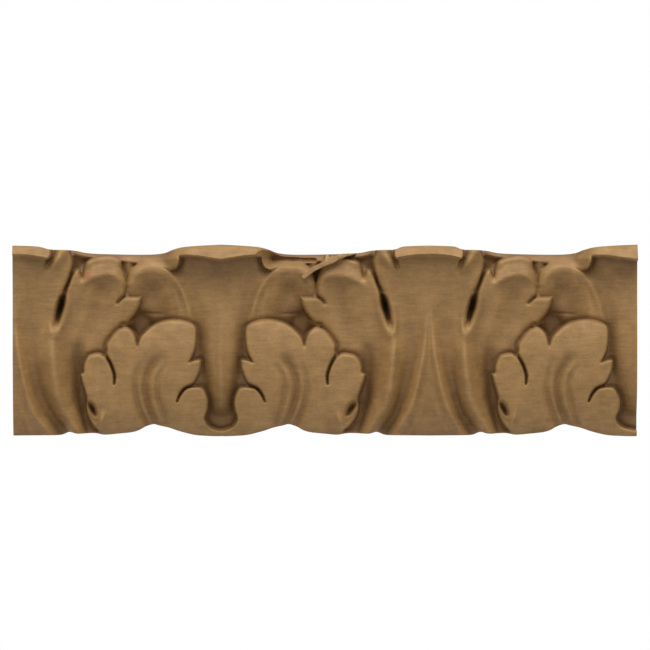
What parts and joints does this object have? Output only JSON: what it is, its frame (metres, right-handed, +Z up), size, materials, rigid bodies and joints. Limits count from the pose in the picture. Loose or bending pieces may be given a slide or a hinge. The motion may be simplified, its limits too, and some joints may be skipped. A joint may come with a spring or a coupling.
{
  "type": "linear moulding",
  "caption": "Straight length of leaf moulding in relief, with rolled leaf tips along the top, a flat back and square-cut ends, made to be glued on.",
  "frame": {"origin": "middle of the flat back, halfway along the length and halfway up the height", "axes": "+X along the length, +Z up, +Y out of the flat back, so the carving faces -Y"},
  "size_m": [0.0834, 0.0097, 0.0256],
  "materials": {
    "composition": "matte tan pressed composition with the fine wood grain of its mould"
  },
  "bodies": {
    "root": {"leaf_moulding": "composition"}
  },
  "joints": []
}
